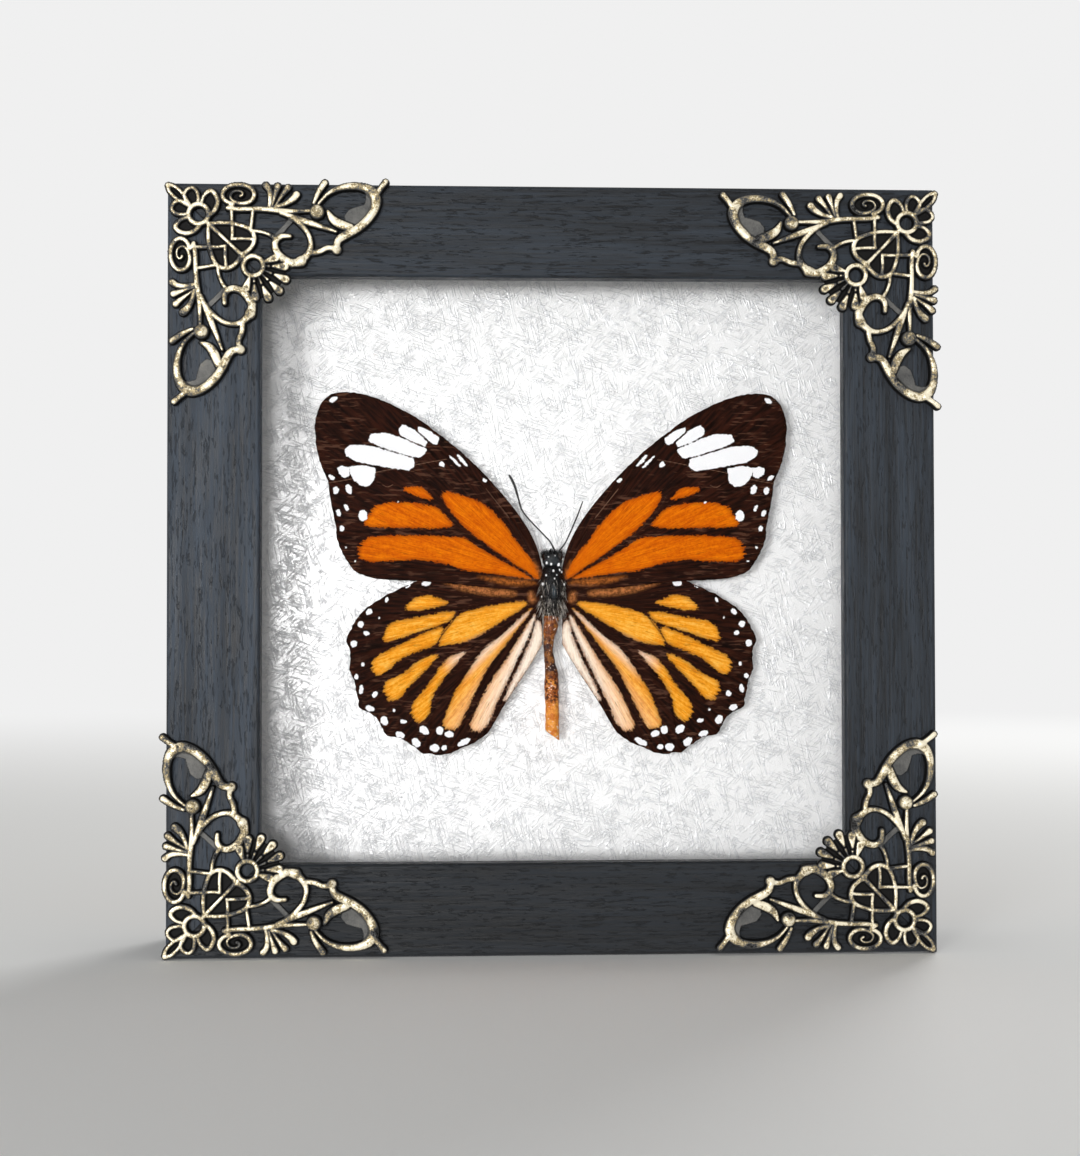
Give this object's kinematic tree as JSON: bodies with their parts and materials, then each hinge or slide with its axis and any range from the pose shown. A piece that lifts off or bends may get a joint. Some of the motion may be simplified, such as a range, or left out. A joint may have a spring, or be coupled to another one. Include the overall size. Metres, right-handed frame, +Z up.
{
  "type": "butterfly display case",
  "caption": "Square black wooden box frame with cast filigree corners, glass front and a mounted tiger-patterned butterfly; turn buttons and a hanging ring behind.",
  "frame": {"origin": "middle of the whole width and depth, on the underside of the bottom rail", "axes": "+Z up, the glass front faces -Y, +X to the right seen from the front"},
  "size_m": [0.1318, 0.029, 0.1307],
  "materials": {
    "black_painted_wood": "satin charcoal paint over open grain",
    "antique_bronze": "antique bronze, dark in the recesses and worn bright on top",
    "clear_glass": "clear float glass",
    "white_paper": "white paper embossed with fibre-like streaks",
    "foam_board": "white foam board",
    "brown_fibreboard": "raw fibreboard",
    "nail_steel": "bright steel",
    "hardware_brass": "brass plated",
    "screw_brass": "brass plated",
    "forewing_scales": "matte wing scales, orange with dark brown and white",
    "hindwing_scales": "matte wing scales, amber and cream with dark veins",
    "body_black": "black chitin with grey hair and white dots",
    "abdomen_brown": "dry orange-brown"
  },
  "bodies": {
    "case": {"rail_bottom": "black_painted_wood", "rail_right": "black_painted_wood", "rail_top": "black_painted_wood", "rail_left": "black_painted_wood", "corner_v_nails": "nail_steel", "glass_pane": "clear_glass", "spacer_bottom": "black_painted_wood", "spacer_right": "black_painted_wood", "spacer_top": "black_painted_wood", "spacer_left": "black_painted_wood", "backing_paper": "white_paper", "mount_board": "foam_board", "back_board": "brown_fibreboard", "ornament_top_left": "antique_bronze", "ornament_top_right": "antique_bronze", "ornament_bottom_left": "antique_bronze", "ornament_bottom_right": "antique_bronze", "turn_button_screws": "screw_brass", "hanger_plate": "hardware_brass", "hanger_screws": "screw_brass", "specimen_pad": "foam_board", "forewing_left": "forewing_scales", "forewing_right": "forewing_scales", "hindwing_left": "hindwing_scales", "hindwing_right": "hindwing_scales", "thorax": "body_black", "abdomen": "abdomen_brown", "head": "body_black", "antenna_left": "body_black", "antenna_right": "body_black"},
    "left_upper_button": {"turn_button_left_upper": "hardware_brass"},
    "left_lower_button": {"turn_button_left_lower": "hardware_brass"},
    "right_upper_button": {"turn_button_right_upper": "hardware_brass"},
    "right_lower_button": {"turn_button_right_lower": "hardware_brass"},
    "ring": {"hanger_ring": "hardware_brass"}
  },
  "joints": [
    {"name": "left_upper_button_turn", "type": "hinge", "parent": "case", "child": "left_upper_button", "pos_m": [-0.0602, 0.01107, 0.095], "axis": [0, 1, 0], "continuous": true},
    {"name": "left_lower_button_turn", "type": "hinge", "parent": "case", "child": "left_lower_button", "pos_m": [-0.0602, 0.01107, 0.035], "axis": [0, 1, 0], "continuous": true},
    {"name": "right_upper_button_turn", "type": "hinge", "parent": "case", "child": "right_upper_button", "pos_m": [0.0602, 0.01107, 0.095], "axis": [0, 1, 0], "continuous": true},
    {"name": "right_lower_button_turn", "type": "hinge", "parent": "case", "child": "right_lower_button", "pos_m": [0.0602, 0.01107, 0.035], "axis": [0, 1, 0], "continuous": true},
    {"name": "ring_swing", "type": "hinge", "parent": "case", "child": "ring", "pos_m": [0, 0.01287, 0.1207], "axis": [1, 0, 0], "range_deg": [-6, 178]}
  ]
}
